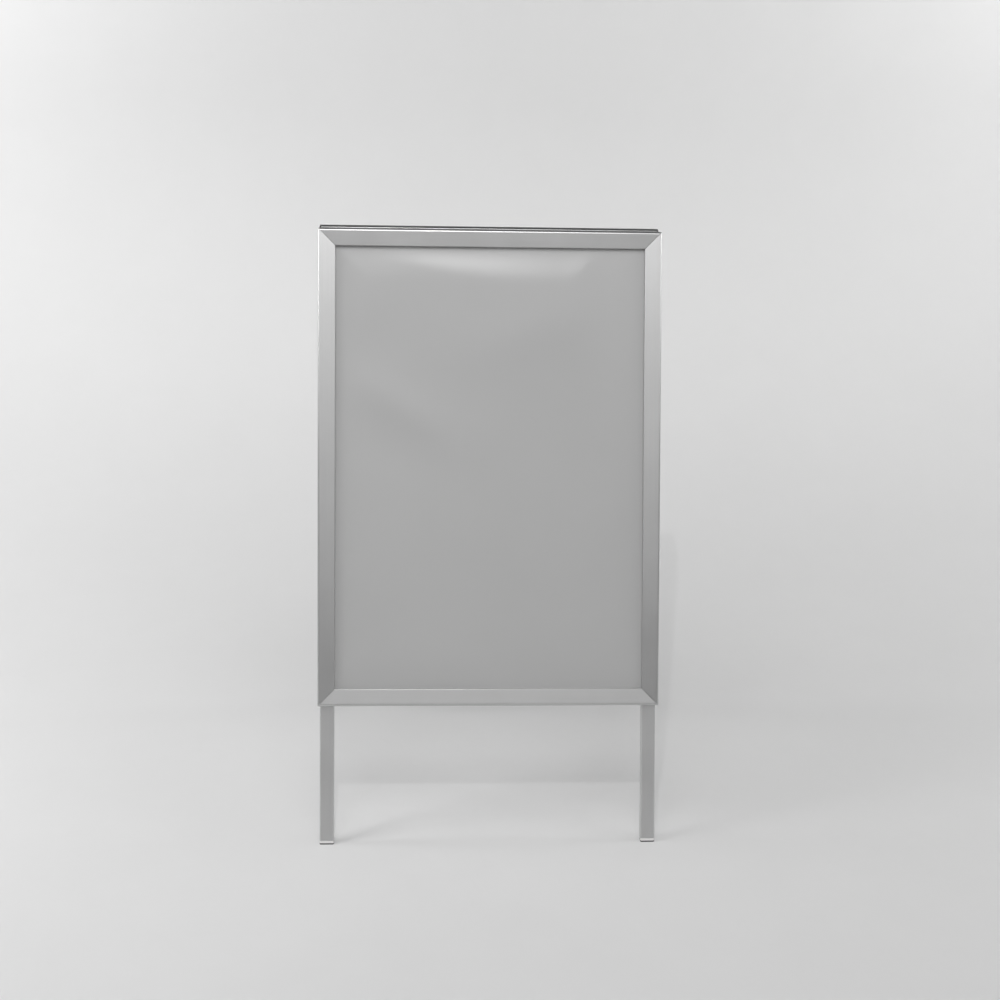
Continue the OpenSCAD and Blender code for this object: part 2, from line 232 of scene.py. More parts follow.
def inset(outline, d):
    """An outline moved inward by d along the mean of its neighbours' side normals."""
    ahead, behind = np.roll(outline, -1, 0) - outline, outline - np.roll(outline, 1, 0)
    tangent = ahead / (np.linalg.norm(ahead, axis=1)[:, None] + 1e-9)
    tangent = tangent + behind / (np.linalg.norm(behind, axis=1)[:, None] + 1e-9)
    tangent /= np.linalg.norm(tangent, axis=1)[:, None] + 1e-9
    x, y = outline.T
    area = np.sum(x * np.roll(y, -1) - np.roll(x, -1) * y)
    normal = np.stack([-tangent[:, 1], tangent[:, 0]], -1) * (1 if area > 0 else -1)
    return outline + normal * d


def round_rect(w, d, r, steps=6):
    """Outline of a rectangle w by d with corners of radius r, as four quarter circles, with a point
    LEAD beside each end of each so that the flats shade flat."""
    loops = []
    for i, (sx, sy) in enumerate(((1, 1), (-1, 1), (-1, -1), (1, -1))):
        a = np.radians(90 * i + np.linspace(0, 90, steps + 1))
        arc = np.stack([sx * (w / 2 - r) + r * np.cos(a), sy * (d / 2 - r) + r * np.sin(a)], -1)
        before = arc[0] + LEAD * np.array([math.sin(a[0]), -math.cos(a[0])])
        after = arc[-1] + LEAD * np.array([-math.sin(a[-1]), math.cos(a[-1])])
        loops += [before[None], arc, after[None]]
    return np.concatenate(loops)


def lathe(profile, steps=40):
    """Rows of circles round X: each profile point (x, r) gives the circle (x, r cos a, r sin a)."""
    a = np.linspace(0, 2 * math.pi, steps, endpoint=False)
    p = np.asarray(profile, float)
    return np.stack([
        np.repeat(p[:, :1], steps, 1), p[:, 1:] * np.cos(a)[None], p[:, 1:] * np.sin(a)[None],
    ], -1)


def dome(x0, x1, radius, steps=8):
    """Profile of a low rivet head from its seat at x0 to its crown at x1: x goes with the sine and the
    radius with the cosine, raised to a power under 1 for a fuller side. It stops short of the pole."""
    full, stop = 0.8, 0.985
    turn = np.linspace(0, math.pi / 2 * stop, steps)
    return [(x0 + (x1 - x0) * math.sin(a), radius * math.cos(a) ** full) for a in turn]


# ---------------------------------------------------------------- materials

class Val:
    """A shader socket that takes arithmetic."""

    def __init__(self, graph, socket):
        self.graph, self.socket = graph, socket

    def do(self, op, *others):
        """One Math node."""
        return self.graph.node("Math", {"operation": op}, self, *others)

    def __add__(self, other):
        return self.do("ADD", other)

    __radd__ = __add__

    def __mul__(self, other):
        return self.do("MULTIPLY", other)

    __rmul__ = __mul__

    def __sub__(self, other):
        return self.do("SUBTRACT", other)

    def __rsub__(self, other):
        return self.graph.node("Math", {"operation": "SUBTRACT"}, other, self)

    def output(self, place):
        """Another output of the same node."""
        return Val(self.graph, self.socket.node.outputs[place])

    def between(self, low, high):
        """0 below low, 1 above high, smooth between."""
        return self.graph.node("MapRange", {"interpolation_type": "SMOOTHSTEP"}, self, low, high)

    def ramp(self, stops):
        """A grey that follows stops of (value, tone), straight between them."""
        made = self.graph.node("ValToRGB", None, self)
        elements = made.socket.node.color_ramp.elements
        while len(elements) < len(stops):
            elements.new(0.5)
        for element, (value, tone) in zip(elements, stops):
            element.position, element.color = value, grey(tone)
        return made


class Graph:
    """The node tree of a new material or world."""

    def __init__(self, owner):
        owner.use_nodes = True
        self.owner, self.tree = owner, owner.node_tree
        self.tree.nodes.clear()

    def node(self, kind, settings=None, *inputs, out=0, **named):
        """Adds any node: settings first, then values or sockets for its inputs, by place or by name."""
        made = self.tree.nodes.new("ShaderNode" + kind)
        for key, value in (settings or {}).items():
            setattr(made, key, value)
        for key, value in [*enumerate(inputs), *named.items()]:
            if value is None:
                continue
            socket = made.inputs[key.replace("_", " ") if isinstance(key, str) else key]
            if isinstance(value, Val):
                self.tree.links.new(value.socket, socket)
            else:
                socket.default_value = value
        return Val(self, made.outputs[out]) if made.outputs else None

    def mix(self, factor, a, b):
        """A colour between a and b."""
        return self.node("Mix", {"data_type": "RGBA"}, factor, None, None, None, None, None, a, b, out=2)

    def place(self):
        """Object coordinates."""
        return self.node("TexCoord", None, out=3)

    def noise(self, where, scale, detail=3.0, roughness=0.5):
        """A cloud whose grains are about 1 / scale metres wide."""
        return self.node("TexNoise", None, Vector=where, Scale=scale, Detail=detail, Roughness=roughness)

    def stretched(self, where, scale):
        """A place scaled along each axis by itself."""
        return self.node("Mapping", {"vector_type": "POINT"}, where, Scale=scale)

    def done(self, shader, kind="Material"):
        """Joins the shader to the output and returns what the tree belongs to."""
        self.node("Output" + kind, None, shader)
        return self.owner


def grey(v, warm=0.0):
    """A grey of tone v, with warm added to red and taken from blue as a share."""
    return (v * (1 + warm), v, v * (1 - warm), 1.0)


def metal(name, tone, rough, spread, streak, fleck=0.03, along=False):
    """Worked metal: tone and roughness vary with lines and with soft blotches. The lines run along the
    piece, by its flow attribute, or lie as object coordinates do."""
    g = Graph(bpy.data.materials.new(name))
    where = g.node("Attribute", {"attribute_name": "flow"}, out=1) if along else g.place()
    lines = g.noise(g.stretched(where, streak), 1.0, 4.0, 0.6)
    blotch = g.noise(where, 14.0, 3.0, 0.55)
    speck = g.noise(where, 1500.0, 2.0, 0.5)
    wear = (lines - 0.5) * spread + (blotch - 0.5) * spread * 0.8
    cloud = (lines * 0.5 + blotch * 0.5 + (speck - 0.5) * 0.4).between(0.25, 0.75)
    colour = g.mix(cloud, grey(tone * (1 - fleck)), grey(min(tone * (1 + fleck), 1.0)))
    bump = g.node("Bump", None, Strength=0.12, Distance=0.00003, Height=lines + speck * 0.5)
    return g.done(g.node("BsdfPrincipled", None, Base_Color=colour, Metallic=1.0,
                         Roughness=wear + rough, Normal=bump))


def plastic(name, tone, rough, spread=0.08, coat=0.0, warm=0.0, grain=900.0, depth=0.00002,
            mottle=0.055, brightest=0.95):
    """Moulded plastic, rubber or paint: a soft cloud of tone and a fine grain."""
    g = Graph(bpy.data.materials.new(name))
    where = g.place()
    cloud = g.noise(where, 22.0, 4.0, 0.6)
    fine = g.noise(where, grain, 2.0, 0.6)
    colour = g.mix(cloud.between(0.3, 0.7), grey(tone * (1 - mottle), warm),
                   grey(min(tone * (1 + mottle), brightest), warm))
    bump = g.node("Bump", None, Strength=0.25, Distance=depth, Height=fine)
    return g.done(g.node("BsdfPrincipled", None, Base_Color=colour, Coat_Weight=coat,
                         Roughness=(cloud - 0.5) * spread + rough, Normal=bump))


def film(name, tone, rough, cover):
    """Matt clear film: a fine etched face that covers a share of what lies behind, a little more in
    patches. Its roughness keeps to a narrow range, because a wide one draws contour lines."""
    g = Graph(bpy.data.materials.new(name))
    where = g.place()
    patches = 0.03
    cloud = g.noise(where, 5.0, 3.0, 0.5)
    fine = g.noise(where, 700.0, 3.0, 0.7)
    colour = g.mix(cloud * 0.5 + fine * 0.5, grey(tone * 0.96), grey(tone * 1.04))
    bump = g.node("Bump", None, Strength=0.2, Distance=0.00001, Height=fine)
    shell = g.node("BsdfPrincipled", None, Base_Color=colour, IOR=1.85,
                   Roughness=(cloud - 0.5) * patches + rough, Normal=bump)
    clear = g.node("BsdfTransparent", None, grey(0.97))
    return g.done(g.node("MixShader", None, (cloud - 0.5) * patches + cover, clear, shell))


DRAWN = (6.0, 900.0, 900.0)
MATERIALS = {}


def make_materials(look):
    """All materials of the object, from the look settings."""
    m = MATERIALS
    m["cover"] = metal("anodised_cover", look.cover_tone, look.cover_rough, spread=0.07, streak=DRAWN,
                       along=True)
    m["rail"] = metal("anodised_rail", look.cover_tone * 0.92, 0.38, spread=0.10, streak=(60.0,) * 3)
    m["leg"] = metal("leg_tube", look.leg_tone, look.leg_rough, spread=0.10, streak=DRAWN, along=True)
    m["key"] = metal("corner_key", 0.42, 0.5, spread=0.15, streak=(200.0,) * 3)
    m["zinc"] = metal("zinc_steel", 0.55, 0.36, spread=0.2, streak=(120.0,) * 3, fleck=0.10)
    m["spring"] = metal("spring_steel", 0.45, 0.28, spread=0.1, streak=(300.0,) * 3)
    m["panel"] = plastic("white_coat", look.panel_tone, 0.5, spread=0.03, mottle=0.012)
    m["foot"] = plastic("foot_plastic", look.foot_tone, 0.34, coat=0.15, warm=0.01)
    m["hinge"] = plastic("hinge_plastic", 0.06, 0.42)
    m["rubber"] = plastic("sole_rubber", 0.028, 0.7, grain=1600.0, depth=0.00006)
    m["film"] = film("matt_film", look.film_tone, look.film_rough, look.film_cover)


def dress(node, key):
    """Puts a material in a CAD node's own slot."""
    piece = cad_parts[node]
    if piece.data.materials:
        piece.data.materials[0] = MATERIALS[key]
    else:
        piece.data.materials.append(MATERIALS[key])


# ---------------------------------------------------------------- settings

def length(name, description, default, most, least=0.0):
    """A setting that is a length in metres."""
    return bpy.props.FloatProperty(name=name, description=description, default=default, min=least,
                                   max=most, unit="LENGTH")


def share(name, description, default):
    """A setting between 0 and 1."""
    return bpy.props.FloatProperty(name=name, description=description, default=default, min=0.0,
                                   max=1.0, subtype="FACTOR")


class BoardSizes(bpy.types.PropertyGroup):
    """Details of form that the CAD leaves open."""

    chamfer: length("Cut edge", "Rounding of sawn profile ends", 0.00018, most=0.0005)
    mitre_gap: length("Mitre gap", "Half the joint between two covers", 0.00015, most=0.001)
    sheet_wave: length("Sheet wave", "Height of the soft waves in the sheet", 0.0014, most=0.004)
    sheet_bulge: length("Sheet bulge", "How far the sheet lifts under the top lip", 0.0040, most=0.006)
    rivet_crown: length("Rivet crown", "Height of a rivet head", 0.0014, most=0.002, least=0.0005)


class BoardLook(bpy.types.PropertyGroup):
    """Tones and finishes."""

    cover_tone: share("Cover tone", "Tone of the anodised covers", 0.575)
    cover_rough: share("Cover roughness", "Roughness of the anodised covers", 0.335)
    leg_tone: share("Leg tone", "Tone of the leg tubes", 0.60)
    leg_rough: share("Leg roughness", "Roughness of the leg tubes", 0.42)
    panel_tone: share("Panel tone", "Tone of the white back panels", 0.63)
    film_tone: share("Film tone", "Tone of the matt film itself", 0.52)
    film_rough: share("Film roughness", "Roughness of the matt film", 0.30)
    film_cover: share("Film cover", "How far the film hides the panel behind", 0.82)
    foot_tone: share("Foot tone", "Tone of the whitish foot caps", 0.72)
    floor_tone: share("Floor tone", "Tone of the floor and backdrop", 0.72)


# ---------------------------------------------------------------- pieces

def face_n(d, r):
    """Depth at distance d of the line along a cover's face, r outside the centre of its outer rounding:
    centre + r / cos(tilt) - (d - edge radius) tan(tilt)."""
    return ARC_N + r / math.cos(FACE_TILT) - (d - EDGE_R) * math.tan(FACE_TILT)


def cover_outline():
    """Section of a snap cover as (distance in, depth): filleted shell with its face falling inward,
    then the bead as an arc round its pivot from the inner wall, underneath, to the skirt."""
    t, w = COVER_T, PROFILE_W
    skirt_up, wall_up, foot_r, inner_r = 0.8, 1.6, 0.35, 0.3
    arc_from, arc_to, arc_points = 102.6, -192.7, 27
    shell = fillet([
        (0.0, BEAD_N + skirt_up, 0.0), (0.0, face_n(0.0, EDGE_R), EDGE_R),
        (w, face_n(w, EDGE_R), LIP_R), (w, LIP_N, foot_r), (w - t, LIP_N, foot_r),
        (w - t, face_n(w - t, EDGE_R - t), inner_r), (t, face_n(t, EDGE_R - t), EDGE_R - t),
        (t, BEAD_N + wall_up, 0.0),
    ])
    a = np.radians(np.linspace(arc_from, arc_to, arc_points))
    bead = np.stack([BEAD_D + BEAD_R * np.cos(a), BEAD_N + BEAD_R * np.sin(a)], -1)
    return np.vstack([shell, bead])


def cover(side, k, sizes):
    """One snap cover: its section run between two 45 degree ends, x = half length - distance in,
    with the ends drawn in slightly and the bead cut short of the corners. flow holds the place along
    the cover, far apart for each edge, and the place in the section."""
    bead_short, bead_reach, apart = 3.5, 3.6, 700
    half = (FRAME_W if k % 2 == 0 else FRAME_H) / 2
    gap, cut = sizes.mitre_gap / MM, sizes.chamfer / MM
    outline = cover_outline()
    small = inset(outline, cut)
    low = (outline[:, 1] < BEAD_N + BEAD_R + 0.05) & (outline[:, 0] < bead_reach)
    end = np.where(low, half - bead_short, half - gap * math.sqrt(2) - outline[:, 0])
    rows, flow = [], []
    between = np.linspace(-0.999, 0.999, 9)[1:-1]
    stations = [(-1, small, 0.0), (-1, outline, cut), *[(f, outline, cut) for f in between],
                (1, outline, cut), (1, small, 0.0)]
    for f, loop, back in stations:
        x = f * (end - back)
        rows.append(np.stack([x, -loop[:, 1], -loop[:, 0]], -1))
        flow.append(np.stack([x + apart * k, loop[:, 0], loop[:, 1]], -1))
    points = pose(on_edge(np.array(rows), k), side)
    return build(f"{side}_cover_{EDGES[k]}", points, flow=np.array(flow))


def leg_points(rows, hand, side):
    """Rows of (x in the leg, n, s) put in place on one side of a board."""
    p = np.asarray(rows, float)
    upright = np.stack([p[..., 0] + hand * LEG_X, -p[..., 1], -p[..., 2]], -1)
    return pose(upright, side)


def leg_ring(shrink, s):
    """One ring of the leg's outline, shrunk all round, at distance s."""
    loop = round_rect(LEG_W - 2 * shrink, LEG_D - 2 * shrink, max(LEG_R - shrink, LEAST_R))
    n = loop[:, 1] + LEG_BACK + LEG_D / 2
    return np.stack([loop[:, 0], n, np.broadcast_to(s, n.shape)], -1)


def s_at(n, height):
    """Distance down the leg at depth n where an open board's leg is at that height above the floor."""
    return (HINGE_Z + n * math.sin(LEAN) - height) / math.cos(LEAN)


def level_ring(shrink, height):
    """A ring of the leg's outline cut level at a height above the floor."""
    ring = leg_ring(shrink, 0.0)
    ring[:, 2] = s_at(ring[:, 1], height)
    return ring


def leg(side, word, hand, sizes):
    """One leg tube: outer wall, rounded sawn ends and inner wall as one closed skin."""
    cut = sizes.chamfer / MM
    w = LEG_WALL
    s0, s1 = LEG_TOP, TUBE_S
    steps = np.linspace(s0 + cut, s1 - cut, 12)
    rings = np.array([
        leg_ring(cut, s0), *[leg_ring(0, s) for s in steps], leg_ring(cut, s1),
        leg_ring(w - cut, s1), *[leg_ring(w, s) for s in steps[::-1]], leg_ring(w - cut, s0),
    ])
    points = leg_points(rings, hand, side)
    return build(f"{side}_leg_tube_{word}", points, close_u=True, flow=rings[..., [2, 0, 1]])


def foot(side, word, hand):
    """One foot cap: a plug inside the tube, a shoulder with a soft edge and a level-cut rim. Its rings
    are pairs of how far in and how far past the tube's end, then how far in and how far over the sole."""
    plug = LEG_WALL + 0.1
    round_tube = ((plug + 0.8, -PLUG_LONG), (plug, 1 - PLUG_LONG), (plug, -0.15), (1.3, 0.05),
                  (0.55, 0.1), (0.2, 0.35), (0.05, 0.8))
    over_sole = ((0.05, 0.9), (0.2, 0.3), (0.5, 0.0))
    rings = [leg_ring(shrink, TUBE_S + past) for shrink, past in round_tube]
    rings += [level_ring(shrink, SOLE_T + over) for shrink, over in over_sole]
    return build(f"{side}_foot_cap_{word}", leg_points(np.array(rings), hand, side))


def sole(side, word, hand):
    """One rubber sole: a level slab of the leg's outline with worn edges. Its rings are pairs of how far
    in and how high."""
    worn = ((0.6, SOLE_T), (0.2, SOLE_T - 0.1), (0.1, SOLE_T - 0.4), (0.1, 0.7), (0.3, 0.2), (0.8, 0.0))
    rings = [level_ring(shrink, height) for shrink, height in worn]
    return build(f"{side}_sole_pad_{word}", leg_points(np.array(rings), hand, side))


def smooth(t):
    """Smooth step 3t^2 - 2t^3 of t held between 0 and 1."""
    t = np.clip(t, 0, 1)
    return t * t * (3 - 2 * t)


# The sheet's crest: its middle, its reach to each side, and its depth at the ends and more in the middle.
CREST_X, CREST_LEFT, CREST_RIGHT, CREST_END, CREST_MORE = 120, 245, 62, 25, 45
# Slanted ridges in the sheet: across, down, half length, half width, turn and weight.
RIDGES = (
    (-175, 300, 130, 38, 0.55, 1.6),
    (-190, 390, 150, 46, 0.5, -0.8),
    (60, 170, 150, 44, -0.3, 0.7),
    (-230, 110, 60, 60, 0.0, 0.6),
)


def crest(x, below):
    """Lift under the top lip, as a share of the bulge: a smooth step of the distance below the lip over
    the crest's depth, then a wide bell, which fades to both sides and leans a little to the right."""
    aside = (x - CREST_X) / np.where(x < CREST_X, CREST_LEFT, CREST_RIGHT)
    depth = CREST_END + CREST_MORE * np.exp(-np.abs(aside) ** 3)
    rise = smooth(below / depth) * np.exp(-(np.maximum(below - depth, 0) / 170) ** 2)
    return rise * np.exp(-(np.abs(aside) / 1.1) ** 4) * (1 + 0.2 * np.tanh(x / 60))


def waves(x, down):
    """Slow waves and ridges, as a share of the wave height: a constant, three crossed cosines that fade
    downwards, and each ridge as a bell across its turned axes."""
    total = 1.25 + 0.35 * (
        0.5 * np.cos((x * 0.35 + down) / 58.0 + 0.6) + 0.3 * np.cos((x - down * 0.4) / 83.0)
        + 0.2 * np.cos((x * 0.8 + down * 1.3) / 131.0 + 1.1)) * np.exp(-down / 500.0)
    for at_x, at_down, half_long, half_wide, turn, weight in RIDGES:
        c, s = math.cos(turn), math.sin(turn)
        a = (x - at_x) * c + (down - at_down) * s
        b = (down - at_down) * c - (x - at_x) * s
        total = total + weight * np.exp(-((a / half_long) ** 2) - (b / half_wide) ** 2)
    return total


def sheet(side, sizes):
    """One cover sheet: a grid whose face and back both stand off by a lift, which is the crest times the
    bulge plus the waves times their height, faded to nothing at the lips."""
    edge_band, far = 60, 300
    w, h = FRAME_W - 2 * SHEET_D, FRAME_H - 2 * SHEET_D
    under = PROFILE_W - SHEET_D
    x, down = np.meshgrid(np.linspace(-w / 2, w / 2, 141), np.linspace(0, h, 201))
    seen_x = x if side == "front" else -x
    below = down - under
    beside = np.minimum(np.minimum(w / 2 - np.abs(x), h - down) - under, far)
    faded = smooth(np.minimum(beside, below) / edge_band)
    lift = crest(seen_x, below) * (sizes.sheet_bulge / MM)
    lift = lift + faded * (sizes.sheet_wave / MM) * waves(seen_x, down)
    z = FRAME_ZC + h / 2 - down
    face = np.stack([x, -(SHEET_N + lift), z], -1)
    back = np.stack([x, -(PANEL_N + SHEET_CLEAR + lift), z], -1)
    grid = np.hstack([face, back[:, ::-1]])
    piece = build(f"{side}_clear_sheet", pose(grid, side), caps=False)
    close_ends(piece, *grid.shape[:2])
    return piece


def close_ends(piece, rows, cols):
    """Fills the first and last rows of a flattened tube with a strip of quads across its thickness."""
    work = bmesh.new()
    work.from_mesh(piece.data)
    work.verts.ensure_lookup_table()
    for base in (0, (rows - 1) * cols):
        for i in range(cols // 2 - 1):
            quad = [base + i, base + i + 1, base + cols - 2 - i, base + cols - 1 - i]
            work.faces.new([work.verts[q] for q in quad]).smooth = True
    bmesh.ops.recalc_face_normals(work, faces=work.faces)
    for e in work.edges:
        e.smooth = e.calc_face_angle(math.pi) < SHARP
    work.to_mesh(piece.data)
    work.free()


def turned(name, profile, hand, place):
    """A turned part on X: a lathe of its profile, mirrored for the left side, moved to its place."""
    points = lathe(profile)
    points[..., 0] *= hand
    return build(name, points + np.array(place))


def stay_pivot(name, hand, side, bar_x, crown):
    """A shouldered rivet on X: blind head in the leg, collar out to the bar, shank and domed head."""
    bevel = 0.1
    near, far = bar_x + BAR_T + BAR_CLEAR, bar_x - BAR_CLEAR
    wall = LEG_IN + LEG_WALL
    blind = [(wall + 1.0, POLE_R), (wall + 1.0, RIVET_R - 0.5), (wall + 0.7, RIVET_R - bevel),
             (wall, RIVET_R), (wall, SHANK_R), (LEG_IN, SHANK_R)]
    collar = [(LEG_IN, RIVET_R - bevel), (LEG_IN - bevel, RIVET_R), (near + bevel, RIVET_R),
              (near, RIVET_R - bevel), (near, SHANK_R)]
    head = [(far, SHANK_R), (far, RIVET_R), *dome(far - 0.05, far - crown, RIVET_R)[1:]]
    place = (0.0, -STAY_LEN if side == "front" else STAY_LEN, STAY_Z)
    return turned(name, blind + collar + head, hand, place)


def stay_rivet(name, hand, crown):
    """The middle rivet of a stay: a domed head each side and a shank through both bars."""
    x1, x2 = STAY_X1 + BAR_T, STAY_X2 - BAR_CLEAR
    profile = [*dome(x1, x1 + crown, RIVET_R)[::-1], (x1, SHANK_R), (x2, SHANK_R), (x2, RIVET_R),
               *dome(x2, x2 - crown, RIVET_R)[1:]]
    return turned(name, profile, hand, (0.0, 0.0, STAY_Z))


def hinge_pin(name, hand, crown):
    """A hinge pin: a straight shank between two domed heads that seat on the fork."""
    half = LEG_W / 2
    profile = [*dome(half, half + crown, PIN_HEAD_R)[::-1], (half, PIN_R), (-half, PIN_R),
               (-half, PIN_HEAD_R), *dome(-half, -half - crown, PIN_HEAD_R)[1:]]
    return turned(name, profile, 1, (hand * LEG_X, 0.0, HINGE_Z))


def leg_screws(side):
    """Eight pan-head screws with a dimpled drive through the rail flanges into the legs. The profile
    gives the height over the flange and the radius."""
    base = BASE_N + FLANGE_T
    profile = [(0.5, POLE_R), (0.55, 0.9), (1.45, 1.3), (1.6, 1.5), (1.55, 2.2), (1.2, 2.8), (0.6, 3.15),
               (0.0, 3.2), (0.0, 1.7), (-4.0, 1.7), (-4.5, 1.2), (-4.5, POLE_R)]
    ring = lathe([(base + up, radius) for up, radius in profile], 24)
    parts = []
    for _, hand in HANDS:
        for f in SCREW_AT:
            upright = np.stack([ring[..., 1] + hand * (FRAME_W / 2 - SCREW_D), -ring[..., 0],
                                ring[..., 2] + FRAME_ZC + (f - 0.5) * FRAME_H], -1)
            parts.append(build("screw", pose(upright, side)))
    return join(f"{side}_pan_screws", parts)


# ---------------------------------------------------------------- operators

class BOARD_OT_covers(bpy.types.Operator):
    """Builds the eight snap covers"""

    bl_idname = "board.covers"
    bl_label = "Snap covers"

    def execute(self, context):
        for side in SIDES:
            for k, edge in enumerate(EDGES):
                node = f"{side}_snap_{edge}"
                piece = cover(side, k, context.scene.board_sizes)
                finish_piece(piece, node, MATERIALS["cover"], "anodised_aluminium", node)
        return {"FINISHED"}


class BOARD_OT_rails(bpy.types.Operator):
    """Dresses the fixed rails, corner keys and springs"""

    bl_idname = "board.rails"
    bl_label = "Rails, keys and springs"

    def execute(self, context):
        for side in SIDES:
            for edge in EDGES:
                dress(f"{side}_rail_{edge}", "rail")
            dress(f"{side}_corner_keys", "key")
            dress(f"{side}_springs", "spring")
        return {"FINISHED"}


class BOARD_OT_panels(bpy.types.Operator):
    """Dresses the back panels and builds the clear sheets"""

    bl_idname = "board.panels"
    bl_label = "Panels and sheets"

    def execute(self, context):
        for side in SIDES:
            dress(f"{side}_panel", "panel")
            piece = sheet(side, context.scene.board_sizes)
            finish_piece(piece, f"{side}_frame", MATERIALS["film"], "clear_sheet", f"{side}_sheet")
        return {"FINISHED"}


class BOARD_OT_legs(bpy.types.Operator):
    """Builds the four leg tubes and their screws"""

    bl_idname = "board.legs"
    bl_label = "Legs"

    def execute(self, context):
        for side in SIDES:
            for word, hand in HANDS:
                piece = leg(side, word, hand, context.scene.board_sizes)
                finish_piece(piece, f"{side}_frame", MATERIALS["leg"], "leg_aluminium",
                             f"{side}_leg_{word}")
            screws = leg_screws(side)
            finish_piece(screws, f"{side}_frame", MATERIALS["zinc"], "zinc_steel",
                         f"{side}_leg_screws")
        return {"FINISHED"}


class BOARD_OT_feet(bpy.types.Operator):
    """Builds the foot caps and soles"""

    bl_idname = "board.feet"
    bl_label = "Feet"

    def execute(self, context):
        for side in SIDES:
            for word, hand in HANDS:
                finish_piece(foot(side, word, hand), f"{side}_frame", MATERIALS["foot"], "foot_plastic",
                             f"{side}_foot_{word}")
                finish_piece(sole(side, word, hand), f"{side}_frame", MATERIALS["rubber"], "sole_rubber",
                             f"{side}_sole_{word}")
        return {"FINISHED"}


class BOARD_OT_hinges(bpy.types.Operator):
    """Dresses the hinge caps and builds the pins"""

    bl_idname = "board.hinges"
    bl_label = "Hinges"

    def execute(self, context):
        crown = context.scene.board_sizes.rivet_crown / MM
        for word, hand in HANDS:
            for side in SIDES:
                dress(f"{side}_hinge_cap_{word}", "hinge")
            pin = hinge_pin(f"domed_pin_{word}", hand, crown)
            finish_piece(pin, "rear_frame", MATERIALS["zinc"], "zinc_steel", f"hinge_pin_{word}")
        return {"FINISHED"}


class BOARD_OT_stays(bpy.types.Operator):
    """Dresses the stay bars and builds their rivets"""

    bl_idname = "board.stays"
    bl_label = "Side stays"

    def execute(self, context):
        crown = context.scene.board_sizes.rivet_crown / MM
        for word, hand in HANDS:
            for side, bar_x in (("front", STAY_X1), ("rear", STAY_X2)):
                dress(f"{side}_stay_{word}", "zinc")
                pivot = stay_pivot(f"{side}_shoulder_rivet_{word}", hand, side, bar_x, crown)
                finish_piece(pivot, f"{side}_frame", MATERIALS["zinc"], "zinc_steel",
                             f"{side}_stay_pivot_{word}")
            rivet = stay_rivet(f"middle_rivet_{word}", hand, crown)
            finish_piece(rivet, f"front_stay_{word}", MATERIALS["zinc"], "zinc_steel",
                         f"stay_rivet_{word}")
        return {"FINISHED"}


# Lamps: name, place, target, size, watts and the beam's full angle in degrees.
LAMPS = (
    ("key", (-0.24, -2.34, 3.2), (0.0, -0.1, 0.4), (0.03, 0.03), 13.5, 180),
    ("top_soft", (-0.2, -1.9, 3.4), (0.0, 0.0, 0.5), (2.0, 1.4), 23.5, 180),
    ("wash_left", (-2.7, 0.5, 2.5), (-1.7, 1.9, 2.2), (1.0, 1.4), 12.5, 100),
    ("wash_right", (2.7, 0.5, 2.5), (1.7, 1.9, 2.2), (1.0, 1.4), 9, 100),
    ("floor_left", (-2.6, -0.6, 2.6), (-1.6, 0.0, 0.0), (1.0, 1.0), 10, 90),
    ("floor_right", (2.6, -0.6, 2.6), (1.6, 0.0, 0.0), (1.0, 1.0), 3, 90),
    ("low_left", (-3.0, 0.15, 1.5), (0.0, 0.0, 0.5), (0.4, 0.6), 13, 180),
    ("low_right", (3.0, 0.15, 1.5), (0.0, 0.0, 0.5), (0.4, 0.6), 10, 180),
    ("front_low", (-0.12, -4.3, 1.5), (0.0, -0.2, 0.3), (0.6, 0.3), 0.75, 180),
)
# The room's light: stops of (upward part of the direction, tone), how much more comes from the sides,
# how far back it fades and what is left there; and the one tone that is seen.
ROOM_BANDS = ((0.0, 0.03), (0.2, 0.13), (0.4, 1.22), (0.65, 0.12), (0.95, 0.04))
ROOM_SIDES, ROOM_FADE, ROOM_BACK = 1.3, 0.45, 0.35
ROOM_SEEN = 0.62
# The paper sweep, in metres: where it starts to rise, its curve and its height.
SWEEP_START, SWEEP_R, SWEEP_H, SWEEP_HALF_W = 0.55, 1.3, 2.3, 7.0
# The camera: place in metres, yaw, pitch and roll in degrees, sensor in millimetres, and focal length in
# sensor widths.
CAMERA_AT = (-0.1225, -2.7822, 1.4315)
CAMERA_TURN = (3.088, 17.025, -1.105)
CAMERA_SENSOR, CAMERA_FOCAL = 36.0, 1.476


def area_light(name, place, target, size, power, spread):
    """A soft light at a place, aimed at a target."""
    data = bpy.data.lights.new(name, "AREA")
    data.shape, data.size, data.size_y = "RECTANGLE", size[0], size[1]
    data.energy, data.spread = power, math.radians(spread)
    lamp = bpy.data.objects.new(name, data)
    lamp.location = place
    lamp.rotation_mode = "QUATERNION"
    lamp.rotation_quaternion = (Vector(target) - Vector(place)).to_track_quat("-Z", "Y")
    bpy.context.scene.collection.objects.link(lamp)


